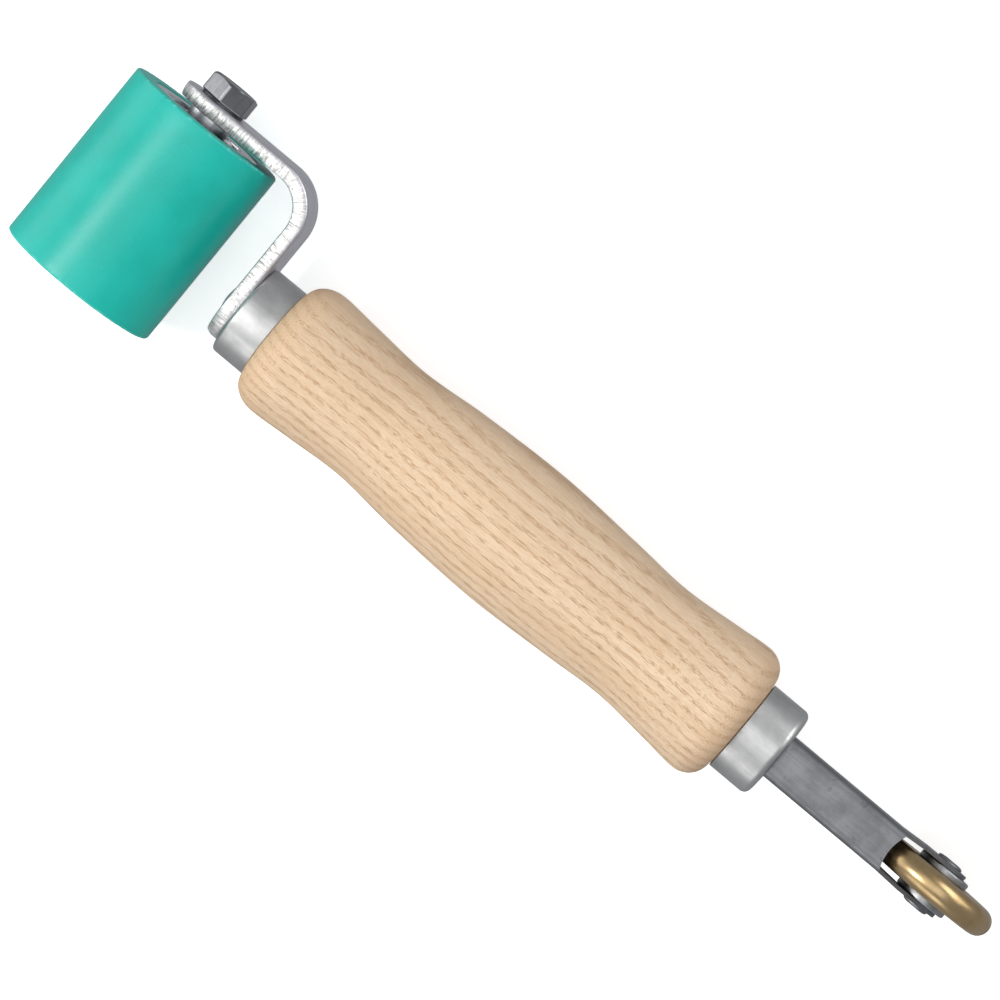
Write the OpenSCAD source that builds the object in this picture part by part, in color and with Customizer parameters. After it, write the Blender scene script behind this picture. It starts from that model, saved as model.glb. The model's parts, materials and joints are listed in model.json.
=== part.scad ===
// Double-ended hand roller: a rubber pressure roller on a single bent arm at one
// end of a wooden handle, and a brass detail wheel in a channel fork at the other.
// Millimetres. The origin is the middle of the pressure roller. +X runs along the
// handle towards the brass wheel, +Y runs along the roller's axle towards the arm,
// and +Z is up, so that the roller and the wheel both stand on z = -roller_d / 2.

/* [Pressure roller] */
// Outer diameter of the rubber sleeve
roller_d = 34.2; // [32:0.1:36]
// Length of the roller along its axle
roller_len = 40; // [39:0.5:44]
// Diameter of the metal core inside the sleeve
core_d = 25; // [23:0.1:27]
// Rounding of the sleeve's end edges
sleeve_edge_r = 0.5; // [0.2:0.1:1]

/* [Ball bearings] */
// Outer diameter of each ball bearing
bearing_d = 19; // [18.8:0.1:19.2]
// Width of each ball bearing
bearing_w = 6; // [6:0.1:6.4]
// Diameter of one ball
ball_d = 3.5; // [3.3:0.1:3.6]
// Number of balls in each bearing
ball_count = 7; // [6:1:8]

/* [Axle] */
// Nominal diameter of the axle bolt
bolt_d = 6; // [5.6:0.1:6.2]
// Hexagon of the bolt's head and of the nut, across the flats
hex_af = 9.7; // [9:0.1:11]
// Height of the bolt's head
head_h = 4.2; // [3:0.1:5]

/* [Arm] */
// Width of the flat steel bar
arm_w = 16; // [14:0.5:17]
// Thickness of the flat steel bar
arm_t = 3; // [2.5:0.1:4]
// Inside radius of the bar's bend
arm_bend_r = 7; // [5:0.5:9]
// Gap between the arm and the end of the roller
arm_end_gap = 1.4; // [1:0.1:3]
// Gap between the arm and the roller's round surface
arm_back_gap = 8.1; // [7:0.1:12]

/* [Handle] */
// Sideways step from the roller's middle to the handle's axis
handle_offset = 3; // [0:0.5:5]
// Length of the wood that is gripped, between the ferrules
grip_len = 116.8; // [100:0.1:130]
// Swell next to the front ferrule, diameter
front_swell_d = 28.5; // [27:0.1:31]
// Waist behind the front swell, diameter
front_waist_d = 25.9; // [24:0.1:27]
// Belly at the middle of the grip, diameter
belly_d = 29.6; // [28:0.1:32]
// Waist behind the belly, diameter
rear_waist_d = 26.4; // [24:0.1:27.5]
// Swell next to the rear ferrule, diameter
rear_swell_d = 29.6; // [28:0.1:31]

/* [Ferrules] */
// Outer diameter of the two ferrules
ferrule_d = 19.8; // [19.2:0.1:20.4]
// Thickness of the ferrules' sheet
ferrule_t = 0.8; // [0.5:0.1:1]
// Length of the front ferrule
front_ferrule_len = 7.8; // [6:0.1:10]
// Length of the rear ferrule
rear_ferrule_len = 9; // [8:0.1:11]

/* [Fork] */
// Outer width of the channel
fork_w = 9.4; // [9:0.1:10]
// Thickness of the channel's sheet
fork_t = 0.8; // [0.7:0.05:1]
// Turn of the fork about the handle's axis, away from the roller's upright
fork_turn = 4; // [0:0.5:6]
// Length of the closed channel in front of the rear ferrule
fork_channel_len = 28.5; // [26:0.1:32]

/* [Detail wheel] */
// Diameter of the brass wheel
wheel_d = 27.8; // [26:0.1:28]
// Width of the brass wheel, which is also twice the radius of its rim
wheel_w = 5.6; // [5:0.1:6]
// Distance from the rear ferrule to the wheel's axle
wheel_reach = 38.6; // [38.4:0.1:40]
// Diameter of the rivet that is the wheel's axle
rivet_d = 4; // [3.6:0.1:4.4]

/* [Hidden] */
$fn = 96;
cut = 1; // how far a cutting shape runs past the face it opens
slip = 0.05; // clearance between pieces that turn on or slide over each other
seat = 0.02; // clearance between pieces that are pressed together

// Along the axle, in Y
roller_half = roller_len / 2;
arm_in_y = roller_half + arm_end_gap;
arm_out_y = arm_in_y + arm_t;
core_recess = 0.2;
core_half = roller_half - core_recess;
arm_bearing_y = roller_half - 0.6 - bearing_w / 2;
washer_t = 0.8;
nut_h = 3.2;
bolt_end_recess = 0.4;
bolt_end_y = -roller_half + bolt_end_recess;
nut_end_y = bolt_end_y + 0.4;
free_bearing_y = nut_end_y + nut_h + washer_t + bearing_w / 2;
spring_washer_t = 0.5;
spring_washer_r = hex_af / 2 - 0.05;
bolt_hole_r = bolt_d / 2 + 0.2;
stack_bore_r = bolt_d / 2 + seat;
hex_turn = 27; // the hexagon's flats are turned this far about the axle

// Ball bearings
ball_pitch_r = 6.25;
ball_r = ball_d / 2;
race_r = ball_r + slip;
inner_land_r = 5;
outer_land_r = 7.5;
shield_seat_r = 7.75;
shield_t = 0.3;
shield_inset = 0.25;
cage_inner_r = 5.45;
cage_outer_r = 7.05;
cage_back = 1; // from the balls' plane to the open side of the cage
cage_front = 2.2; // from the balls' plane to the closed side of the cage
bearing_outer_r = bearing_d / 2 - seat;

// Roller core and sleeve
core_r = core_d / 2;
bearing_seat_r = bearing_d / 2;
core_bore_r = 7.6;
spacer_r = 4.5;

// Arm and handle, in X
arm_in_x = roller_d / 2 + arm_back_gap;
arm_out_x = arm_in_x + arm_t;
handle_y = -handle_offset;
bend_x = arm_in_x - arm_bend_r;
bend_y = arm_in_y - arm_bend_r;
ferrule_r = ferrule_d / 2;
grip_x0 = arm_out_x + front_ferrule_len;
grip_x1 = grip_x0 + grip_len;
rear_ferrule_gap = 0.3;
rear_ferrule_x = grip_x1 + rear_ferrule_gap;
rear_face_x = rear_ferrule_x + rear_ferrule_len;
tenon_r = ferrule_r - ferrule_t - slip;
ferrule_edge_r = 1.5;

// Screw through the arm into the handle
screw_r = 2.4;
screw_len = 38;
screw_head_r = 4.2;
screw_head_h = 1.1;
screw_dome_r = 9; // radius of the head's low dome
screw_tip_len = 6;
drive_w = 0.9; // width of the cross recess
drive_len = 3.8;
drive_depth = 0.7;

// Fork
fork_half = fork_w / 2;
fork_top_z = 8;
fork_bend_r = 2;
tang_x0 = rear_face_x - 22;
channel_x1 = rear_face_x + fork_channel_len;
web_arc_depth = 1.2; // how far the web's end is hollowed
web_arc_r = (fork_half * fork_half + web_arc_depth * web_arc_depth) / (2 * web_arc_depth);
flare = 0.35; // how far each ear stands out past the channel
flare_x0 = channel_x1 - 0.7;
flare_x1 = channel_x1 + 5;

// Detail wheel
wheel_r = wheel_d / 2;
wheel_half = wheel_w / 2;
axle_x = rear_face_x + wheel_reach;
axle_z = wheel_r - roller_d / 2;
ear_r = 4.2;
ear_in = fork_half - fork_t + flare;
ear_out = fork_half + flare;
fork_bottom_z = axle_z - ear_r;
wheel_washer_r = 5.6;
rivet_r = rivet_d / 2;
rivet_head_r = 2.8;
rivet_head_h = 0.6;

// Radius of the grip at stations along its length, as [share of grip_len, radius]
stations = [
    [0.05, front_swell_d / 2],
    [0.12, front_swell_d * 0.58 / 2 + front_waist_d * 0.42 / 2],
    [0.23, front_waist_d / 2],
    [0.35, front_waist_d * 0.4 / 2 + belly_d * 0.6 / 2],
    [0.52, belly_d / 2],
    [0.68, belly_d * 0.45 / 2 + rear_waist_d * 0.55 / 2],
    [0.79, rear_waist_d / 2],
    [0.9, rear_waist_d * 0.36 / 2 + rear_swell_d * 0.64 / 2],
    [0.957, rear_swell_d / 2]
];
last = len(stations) - 1;

// Slope of the grip's outline at station i, level at the two swells
function slope(i) =
    i == 0 || i == last ? 0 :
    (stations[i + 1][1] - stations[i - 1][1]) / (stations[i + 1][0] - stations[i - 1][0]);

// Radius at share t of the way from station i to the next, on a smooth cubic
function blend(i, t) =
    let (span = stations[i + 1][0] - stations[i][0])
    (2 * t * t * t - 3 * t * t + 1) * stations[i][1]
    + (t * t * t - 2 * t * t + t) * span * slope(i)
    + (3 * t * t - 2 * t * t * t) * stations[i + 1][1]
    + (t * t * t - t * t) * span * slope(i + 1);

shoulder_r = ferrule_r + 0.1; // where the rounded ends of the grip start
function end_curve(x_face, x_swell, swell_r) = [
    for (a = [0:10:90])
        [x_swell + (x_face - x_swell) * cos(a), shoulder_r + (swell_r - shoulder_r) * sin(a)]
];
function reversed(points) = [for (i = [len(points) - 1:-1:0]) points[i]];

// The grip's outline as [x, radius], with its front face at x = 0
grip_outline = concat(
    end_curve(0, stations[0][0] * grip_len, stations[0][1]),
    [for (i = [0:last - 1]) for (t = [0.2:0.2:1])
        if (i < last - 1 || t < 0.9)
            [(stations[i][0] + (stations[i + 1][0] - stations[i][0]) * t) * grip_len, blend(i, t)]],
    reversed(end_curve(grip_len, stations[last][0] * grip_len, stations[last][1]))
);

// A ring about Y between two values of y
module ring(inner_r, outer_r, y0, y1) {
    translate([0, y0, 0])
        rotate([-90, 0, 0])
            difference() {
                cylinder(r = outer_r, h = y1 - y0);
                translate([0, 0, -cut])
                    cylinder(r = inner_r, h = y1 - y0 + 2 * cut);
            }
}

// Turns a shape drawn about Z so that it stands about Y, at a value of y
module about_y(y) {
    translate([0, y, 0])
        rotate([-90, 0, 0])
            children();
}

// Turns a shape drawn about Z so that it lies along the handle's axis, from a value of x
module along_handle(x) {
    translate([x, handle_y, 0])
        rotate([0, 90, 0])
            children();
}

// Turns the fork and all that it carries about the handle's axis
module turned_with_fork() {
    translate([0, handle_y, 0])
        rotate([-fork_turn, 0, 0])
            translate([0, -handle_y, 0])
                children();
}

// Moves a shape to the detail wheel's axle and stands it about Y
module about_wheel_axle() {
    translate([axle_x, handle_y, axle_z])
        rotate([-90, 0, 0])
            children();
}

// ---- Handle ----

module wood_handle() {
    front_tenon_len = front_ferrule_len - ferrule_t;
    rear_tenon_len = rear_ferrule_gap + rear_ferrule_len - ferrule_t;
    color([0.87, 0.72, 0.55])
        difference() {
            along_handle(grip_x0)
                rotate_extrude()
                    polygon(concat(
                        [[0, -front_tenon_len], [tenon_r, -front_tenon_len], [tenon_r, 0]],
                        [for (p = grip_outline) [p[1], p[0]]],
                        [[tenon_r, grip_len], [tenon_r, grip_len + rear_tenon_len],
                         [0, grip_len + rear_tenon_len]]
                    ));
            screw_pilot();
            fork_mortise();
        }
}

// Hole that the handle's screw has cut for itself
module screw_pilot() {
    bore_r = screw_r + seat;
    straight_len = screw_len - screw_tip_len;
    along_handle(arm_out_x - cut)
        cylinder(r = bore_r, h = straight_len - arm_t + cut);
    along_handle(arm_out_x + straight_len - arm_t)
        cylinder(r1 = bore_r, r2 = 0.5, h = screw_tip_len + 0.2);
}

// Slot in the rear end of the wood that holds the fork's tang
module fork_mortise() {
    channel_bar(tang_x0 - seat, rear_face_x, seat);
}

module front_ferrule() {
    color([0.72, 0.73, 0.74])
        along_handle(arm_out_x)
            difference() {
                ferrule_shell(front_ferrule_len, 0.8);
                translate([0, 0, -cut])
                    cylinder(r = screw_r + 0.1, h = ferrule_t + 2 * cut);
            }
}

module rear_ferrule() {
    slot_slip = 0.1;
    color([0.66, 0.67, 0.68])
        difference() {
            translate([rear_face_x, handle_y, 0])
                rotate([0, -90, 0])
                    ferrule_shell(rear_ferrule_len, ferrule_edge_r);
            channel_bar(rear_face_x - ferrule_t - cut, rear_face_x + cut, slot_slip);
        }
}

// Drawn cap: closed at z = 0 with a rounded edge, open at z = len
module ferrule_shell(len, edge_r) {
    inner_r = ferrule_r - ferrule_t;
    rotate_extrude()
        difference() {
            union() {
                translate([0, edge_r])
                    square([ferrule_r, len - edge_r]);
                square([ferrule_r - edge_r, len]);
                translate([ferrule_r - edge_r, edge_r])
                    intersection() {
                        circle(r = edge_r);
                        translate([0, -edge_r])
                            square(edge_r);
                    }
            }
            translate([-cut, ferrule_t])
                square([inner_r + cut, len]);
        }
}

module arm_screw() {
    straight_len = screw_len - screw_tip_len;
    color([0.6, 0.6, 0.62])
        difference() {
            union() {
                along_handle(arm_in_x - screw_head_h)
                    rotate_extrude()
                        intersection() {
                            square([screw_head_r, screw_head_h]);
                            translate([0, screw_dome_r])
                                circle(r = screw_dome_r);
                        }
                along_handle(arm_in_x)
                    cylinder(r = screw_r, h = straight_len);
                along_handle(arm_in_x + straight_len)
                    cylinder(r1 = screw_r, r2 = 0.4, h = screw_tip_len);
            }
            for (turn = [0, 90])
                translate([arm_in_x - screw_head_h, handle_y, 0])
                    rotate([turn + 45, 0, 0])
                        translate([-cut, -drive_len / 2, -drive_w / 2])
                            cube([drive_depth + cut, drive_len, drive_w]);
        }
}

// ---- Arm and axle ----

module arm() {
    color([0.76, 0.76, 0.78])
        difference() {
            union() {
                translate([0, arm_out_y, 0])
                    rotate([90, 0, 0])
                        linear_extrude(arm_t)
                            round_ended_bar(bend_x);
                translate([bend_x, bend_y, -arm_w / 2])
                    rotate_extrude(angle = 90)
                        translate([arm_bend_r, 0])
                            square([arm_t, arm_w]);
                translate([arm_in_x, handle_y, 0])
                    rotate([90, 0, 90])
                        linear_extrude(arm_t)
                            round_ended_bar(bend_y - handle_y);
            }
            about_y(arm_in_y - cut)
                cylinder(r = bolt_hole_r, h = arm_t + 2 * cut);
            along_handle(arm_in_x - cut)
                cylinder(r = screw_r + 0.1, h = arm_t + 2 * cut);
        }
}

// Flat outline of a bar that starts with a full-round end about the origin
module round_ended_bar(len) {
    circle(d = arm_w);
    translate([0, -arm_w / 2])
        square([len, arm_w]);
}

module axle_bolt() {
    shank_r = bolt_d / 2;
    head_y = arm_out_y + spring_washer_t;
    tip_chamfer = 0.6;
    color([0.45, 0.46, 0.48])
        union() {
            about_y(head_y)
                hex_body(head_h, 0, 0.55);
            about_y(bolt_end_y + tip_chamfer)
                cylinder(r = shank_r, h = head_y - bolt_end_y - tip_chamfer);
            about_y(bolt_end_y)
                cylinder(r1 = shank_r - tip_chamfer, r2 = shank_r, h = tip_chamfer);
        }
}

// Hexagon prism from z = 0, its corners chamfered by the given heights
module hex_body(height, low_chamfer, high_chamfer) {
    corner_r = hex_af / 2 / cos(30);
    flat_r = hex_af / 2 * 0.97;
    intersection() {
        rotate([0, 0, hex_turn])
            cylinder(r = corner_r, h = height, $fn = 6);
        rotate_extrude()
            polygon([
                [0, 0],
                [low_chamfer > 0 ? flat_r : corner_r + 0.1, 0],
                [corner_r + 0.1, low_chamfer],
                [corner_r + 0.1, height - high_chamfer],
                [flat_r, height],
                [0, height]
            ]);
    }
}

module spring_washer() {
    gap_w = 0.7;
    color([0.3, 0.3, 0.32])
        difference() {
            ring(bolt_hole_r, spring_washer_r, arm_out_y, arm_out_y + spring_washer_t);
            rotate([0, 200, 0])
                translate([0, arm_out_y - cut, -gap_w / 2])
                    cube([spring_washer_r + cut, spring_washer_t + 2 * cut, gap_w]);
        }
}

module thrust_spacer() {
    color([0.7, 0.7, 0.72])
        ring(stack_bore_r, 4.6, arm_bearing_y + bearing_w / 2, arm_in_y);
}

module bearing_spacer() {
    color([0.7, 0.7, 0.72])
        ring(stack_bore_r, spacer_r, free_bearing_y + bearing_w / 2, arm_bearing_y - bearing_w / 2);
}

module end_washer() {
    face_y = free_bearing_y - bearing_w / 2;
    color([0.7, 0.7, 0.72])
        ring(stack_bore_r, 5, face_y - washer_t, face_y);
}

module end_nut() {
    color([0.6, 0.6, 0.62])
        about_y(nut_end_y)
            difference() {
                hex_body(nut_h, 0.5, 0.5);
                translate([0, 0, -cut])
                    cylinder(r = stack_bore_r, h = nut_h + 2 * cut);
            }
}

// ---- Ball bearings ----

module inner_ring(y) {
    color([0.78, 0.78, 0.8])
        about_y(y)
            rotate_extrude()
                difference() {
                    translate([stack_bore_r, -bearing_w / 2])
                        square([inner_land_r - stack_bore_r, bearing_w]);
                    translate([ball_pitch_r, 0])
                        circle(r = race_r);
                }
}

module outer_ring(y) {
    shield_zone = shield_inset + shield_t + slip;
    color([0.78, 0.78, 0.8])
        about_y(y)
            rotate_extrude()
                difference() {
                    translate([outer_land_r, -bearing_w / 2])
                        square([bearing_outer_r - outer_land_r, bearing_w]);
                    translate([ball_pitch_r, 0])
                        circle(r = race_r);
                    for (side = [-1, 1])
                        translate([outer_land_r - cut, side * (bearing_w / 2 - shield_zone / 2 + cut / 2)
                                   - (shield_zone + cut) / 2])
                            square([shield_seat_r - outer_land_r + cut, shield_zone + cut]);
                }
}

module balls(y) {
    color([0.85, 0.85, 0.87])
        about_y(y)
            for (i = [0:ball_count - 1])
                rotate([0, 0, i * 360 / ball_count])
                    translate([ball_pitch_r, 0, 0])
                        sphere(r = ball_r);
}

// Crown cage: a ring with a round pocket for each ball, closed on the +Y side
module cage(y) {
    color([0.82, 0.8, 0.72])
        difference() {
            ring(cage_inner_r, cage_outer_r, y - cage_back, y + cage_front);
            about_y(y)
                for (i = [0:ball_count - 1])
                    rotate([0, 0, i * 360 / ball_count])
                        translate([ball_pitch_r, 0, 0])
                            sphere(r = race_r);
        }
}

// The two thin discs that close a bearing, held in its outer ring
module shields(y) {
    inner_r = inner_land_r + 0.2;
    middle = bearing_w / 2 - shield_inset - shield_t / 2;
    color([0.5, 0.5, 0.52])
        for (side = [-1, 1])
            ring(inner_r, shield_seat_r - seat, y + side * middle - shield_t / 2,
                 y + side * middle + shield_t / 2);
}

module arm_side_inner_ring() { inner_ring(arm_bearing_y); }
module arm_side_outer_ring() { outer_ring(arm_bearing_y); }
module arm_side_balls() { balls(arm_bearing_y); }
module arm_side_cage() { cage(arm_bearing_y); }
module arm_side_shields() { shields(arm_bearing_y); }
module free_side_inner_ring() { inner_ring(free_bearing_y); }
module free_side_outer_ring() { outer_ring(free_bearing_y); }
module free_side_balls() { balls(free_bearing_y); }
module free_side_cage() { cage(free_bearing_y); }
module free_side_shields() { shields(free_bearing_y); }

// ---- Roller ----

module roller_core() {
    arm_seat_y = arm_bearing_y - bearing_w / 2;
    free_seat_y = free_bearing_y + bearing_w / 2;
    color([0.8, 0.8, 0.82])
        about_y(0)
            difference() {
                translate([0, 0, -core_half])
                    cylinder(r = core_r, h = 2 * core_half);
                translate([0, 0, -core_half - cut])
                    cylinder(r = core_bore_r, h = 2 * core_half + 2 * cut);
                translate([0, 0, arm_seat_y])
                    cylinder(r = bearing_seat_r, h = core_half - arm_seat_y + cut);
                translate([0, 0, -core_half - cut])
                    cylinder(r = bearing_seat_r, h = free_seat_y + core_half + cut);
            }
}

module roller_sleeve() {
    sleeve_in_r = core_r + seat;
    sleeve_out_r = roller_d / 2;
    wall = sleeve_out_r - sleeve_in_r;
    color([0.13, 0.7, 0.64])
        about_y(0)
            rotate_extrude()
                translate([sleeve_in_r, 0])
                    union() {
                        translate([0, -roller_half])
                            square([wall - sleeve_edge_r, roller_len]);
                        translate([0, -roller_half + sleeve_edge_r])
                            square([wall, roller_len - 2 * sleeve_edge_r]);
                        for (side = [-1, 1])
                            translate([wall - sleeve_edge_r, side * (roller_half - sleeve_edge_r)])
                                circle(r = sleeve_edge_r);
                    }
}

// ---- Fork and detail wheel ----

module fork() {
    ear_hole_r = rivet_r + slip;
    color([0.5, 0.51, 0.52])
        difference() {
            union() {
                difference() {
                    channel_bar(tang_x0, channel_x1, 0);
                    turned_with_fork()
                        web_end_cut();
                }
                turned_with_fork()
                    for (side = [-1, 1])
                        ear(side);
            }
            turned_with_fork()
                about_wheel_axle()
                    translate([0, 0, -fork_w])
                        cylinder(r = ear_hole_r, h = 2 * fork_w);
        }
}

// Straight length of the channel, its sheet thicker by the clearance on every side
module channel_bar(x0, x1, clearance) {
    turned_with_fork()
        translate([x0, handle_y, 0])
            rotate([90, 0, 90])
                linear_extrude(x1 - x0)
                    channel_section(clearance);
}

// Cross-section of the channel, open below, with its two bends rounded
module channel_section(clearance) {
    inner_half = fork_half - fork_t - clearance;
    inner_bend_r = fork_bend_r - fork_t - clearance;
    difference() {
        rounded_arch(fork_half + clearance, fork_top_z + clearance, fork_bend_r + clearance,
                     fork_bottom_z - clearance);
        rounded_arch(inner_half, fork_top_z - fork_t - clearance, inner_bend_r,
                     fork_bottom_z - clearance - cut);
    }
}

// Upright block with its two upper corners rounded
module rounded_arch(half, top, bend_r, bottom) {
    translate([-half, bottom])
        square([2 * half, top - bend_r - bottom]);
    translate([-half + bend_r, bottom])
        square([2 * (half - bend_r), top - bottom]);
    for (side = [-1, 1])
        translate([side * (half - bend_r), top - bend_r])
            circle(r = bend_r);
}

// Hollow arc that ends the web between the two ears
module web_end_cut() {
    translate([channel_x1 - web_arc_depth + web_arc_r, handle_y, fork_top_z - fork_bend_r])
        cylinder(r = web_arc_r, h = fork_bend_r + cut);
}

// One of the two ears that carry the wheel's axle
module ear(side) {
    intersection() {
        translate([0, handle_y, fork_bottom_z])
            linear_extrude(fork_top_z - fork_bottom_z)
                polygon([
                    [flare_x0, side * (fork_half - fork_t)],
                    [flare_x1, side * ear_in],
                    [axle_x + ear_r, side * ear_in],
                    [axle_x + ear_r, side * ear_out],
                    [flare_x1, side * ear_out],
                    [flare_x0, side * fork_half]
                ]);
        translate([0, handle_y + 2 * fork_w, 0])
            rotate([90, 0, 0])
                linear_extrude(4 * fork_w)
                    ear_outline();
    }
}

// Side outline of an ear, in X and Z: a round end about the axle, and a straight
// upper edge that runs from the web's end down to touch the round end
module ear_outline() {
    top_x = channel_x1;
    top_z = fork_top_z - fork_bend_r;
    reach = norm([top_x - axle_x, top_z - axle_z]);
    tangent = atan2(top_z - axle_z, top_x - axle_x) - acos(ear_r / reach);
    translate([axle_x, axle_z])
        circle(r = ear_r);
    polygon([
        [flare_x0, fork_bottom_z],
        [axle_x, fork_bottom_z],
        [axle_x, axle_z],
        [axle_x + ear_r * cos(tangent), axle_z + ear_r * sin(tangent)],
        [top_x, top_z],
        [flare_x0, top_z]
    ]);
}

module detail_wheel() {
    color([0.72, 0.56, 0.32])
        turned_with_fork()
            about_wheel_axle()
                rotate_extrude()
                    union() {
                        translate([rivet_r + slip, -wheel_half])
                            square([wheel_r - wheel_half - rivet_r - slip, wheel_w]);
                        translate([wheel_r - wheel_half, 0])
                            circle(r = wheel_half);
                    }
}

module wheel_rivet() {
    head_bevel = 0.25;
    color([0.42, 0.42, 0.43])
        turned_with_fork()
            about_wheel_axle()
                union() {
                    translate([0, 0, -ear_out - slip])
                        cylinder(r = rivet_r, h = 2 * (ear_out + slip));
                    for (side = [0, 1])
                        mirror([0, 0, side])
                            translate([0, 0, ear_out + seat]) {
                                cylinder(r = rivet_head_r, h = rivet_head_h - head_bevel);
                                translate([0, 0, rivet_head_h - head_bevel])
                                    cylinder(r1 = rivet_head_r, r2 = rivet_head_r - head_bevel,
                                             h = head_bevel);
                            }
                }
}

// The two washers between the wheel and the ears
module wheel_washers() {
    inner_y = wheel_half + slip;
    outer_y = ear_in - 2 * slip;
    color([0.6, 0.61, 0.62])
        turned_with_fork()
            for (side = [0, 1])
                translate([axle_x, handle_y, axle_z])
                    mirror([0, side, 0])
                        ring(rivet_r + slip, wheel_washer_r, inner_y, outer_y);
}

wood_handle();
front_ferrule();
rear_ferrule();
arm();
arm_screw();
axle_bolt();
spring_washer();
thrust_spacer();
arm_side_inner_ring();
arm_side_outer_ring();
arm_side_balls();
arm_side_cage();
arm_side_shields();
free_side_inner_ring();
free_side_outer_ring();
free_side_balls();
free_side_cage();
free_side_shields();
bearing_spacer();
end_washer();
end_nut();
roller_core();
roller_sleeve();
fork();
detail_wheel();
wheel_rivet();
wheel_washers();
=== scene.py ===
"""Looks of a double-ended hand roller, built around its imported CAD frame.

All lengths in the helpers are in millimetres and are turned into metres when a mesh is made.
"""

import json
import math

import bmesh
import bpy
from mathutils import Matrix, Vector, noise


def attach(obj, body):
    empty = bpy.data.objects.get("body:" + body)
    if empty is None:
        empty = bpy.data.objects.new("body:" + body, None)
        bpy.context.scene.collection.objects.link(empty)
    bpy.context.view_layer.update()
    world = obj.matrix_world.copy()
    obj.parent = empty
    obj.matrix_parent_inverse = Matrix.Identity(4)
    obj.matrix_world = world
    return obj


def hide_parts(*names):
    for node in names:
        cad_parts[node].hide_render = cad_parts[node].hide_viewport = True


MM = 0.001
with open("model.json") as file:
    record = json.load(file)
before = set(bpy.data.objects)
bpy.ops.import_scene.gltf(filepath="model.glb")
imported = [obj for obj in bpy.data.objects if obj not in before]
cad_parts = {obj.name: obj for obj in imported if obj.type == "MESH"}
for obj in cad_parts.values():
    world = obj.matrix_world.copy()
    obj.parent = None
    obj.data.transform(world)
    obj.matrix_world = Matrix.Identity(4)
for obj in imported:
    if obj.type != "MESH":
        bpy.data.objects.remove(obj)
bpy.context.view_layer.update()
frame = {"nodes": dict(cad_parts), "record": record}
scene = bpy.context.scene

# ---------------------------------------------------------------- sizes, as in the CAD part
HANDLE_Y = -3.0
FLOOR_Z = -17.1
GRIP_X0 = 36.0
GRIP_LEN = 116.8
REAR_FACE_X = 162.1
TENON_R = 9.05
FERRULE_R = 9.9
ARM_IN_Y = 21.4
ARM_T = 3.0
ARM_HALF = 8.0
ARM_IN_X = 25.2
BEND_R = 7.0
HEAD_Y = 24.9
HEAD_H = 4.2
HEX_TURN = 27
BOLT_END_Y = -19.6
AXLE_X = 200.7
AXLE_Z = -3.2
WHEEL_R = 13.9
WHEEL_HALF = 2.8

# Maps (along, u, v) of a turned shape to x, y, z
ABOUT_Y = Matrix(((0, 0, 1, 0), (1, 0, 0, 0), (0, 1, 0, 0), (0, 0, 0, 1)))
ABOUT_HANDLE = Matrix.Translation((0, HANDLE_Y, 0))
TURNED_FORK = (
    Matrix.Translation((0, HANDLE_Y, 0))
    @ Matrix.Rotation(math.radians(-4), 4, "X")
    @ Matrix.Translation((0, -HANDLE_Y, 0))
)
ABOUT_WHEEL = TURNED_FORK @ Matrix.Translation((AXLE_X, HANDLE_Y, AXLE_Z)) @ ABOUT_Y


# ---------------------------------------------------------------- mesh helpers
def wobble(x, y, z):
    """Smooth noise between -1 and 1, the same on every run."""
    return noise.noise(Vector((x, y, z)))


def rounded(points, radius=0.0, closed=True, steps=4):
    """Rounds the corners of a profile. A point is (a, r) or (a, r, corner radius)."""
    out = []
    count = len(points)
    for i, point in enumerate(points):
        here = Vector(point[:2])
        size = point[2] if len(point) > 2 else radius
        if size <= 0 or (not closed and i in (0, count - 1)):
            out.append(tuple(here))
            continue
        before = Vector(points[i - 1][:2]) - here
        after = Vector(points[(i + 1) % count][:2]) - here
        half = before.angle(after) / 2
        reach = min(size / math.tan(half), before.length * 0.49, after.length * 0.49)
        bend = reach * math.tan(half)
        start = here + before.normalized() * reach
        end = here + after.normalized() * reach
        centre = here + (before.normalized() + after.normalized()).normalized() * (
            bend / math.sin(half)
        )
        for k in range(steps + 1):
            mixed = (start - centre).lerp(end - centre, k / steps)
            out.append(tuple(centre + mixed.normalized() * bend))
    return out


def spun(bm, rings, place, segments=128, closed=True, shift=None):
    """Turns a profile of (along, radius) about an axis. A ring may also be a function of the angle."""
    rows = []
    for j, ring in enumerate(rings):
        row = []
        for i in range(segments):
            turn = 2 * math.pi * i / segments
            along, radius = ring(turn) if callable(ring) else ring
            if shift:
                along, radius = shift(along, radius, turn, j)
            spot = Vector((along, radius * math.cos(turn), radius * math.sin(turn)))
            if radius < 1e-6:
                row = [bm.verts.new(place @ spot * MM)] * segments
                break
            row.append(bm.verts.new(place @ spot * MM))
        rows.append(row)
    pairs = list(zip(rows, rows[1:]))
    if closed:
        pairs.append((rows[-1], rows[0]))
    for low, high in pairs:
        for i in range(segments):
            k = (i + 1) % segments
            corners = []
            for v in (low[i], low[k], high[k], high[i]):
                if v not in corners:
                    corners.append(v)
            if len(corners) > 2:
                bm.faces.new(corners)


def piece(name, bm, body, material, nodes=(), sharp=32):
    """Makes a mesh object that rides on a body and stands for the given CAD nodes."""
    bmesh.ops.recalc_face_normals(bm, faces=bm.faces)
    mesh = bpy.data.meshes.new(name)
    bm.to_mesh(mesh)
    bm.free()
    mesh.polygons.foreach_set("use_smooth", [True] * len(mesh.polygons))
    mesh.set_sharp_from_angle(angle=math.radians(sharp))
    obj = bpy.data.objects.new(name, mesh)
    scene.collection.objects.link(obj)
    mesh.materials.append(material)
    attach(obj, body)
    if nodes:
        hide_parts(*nodes)
    return obj


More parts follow.
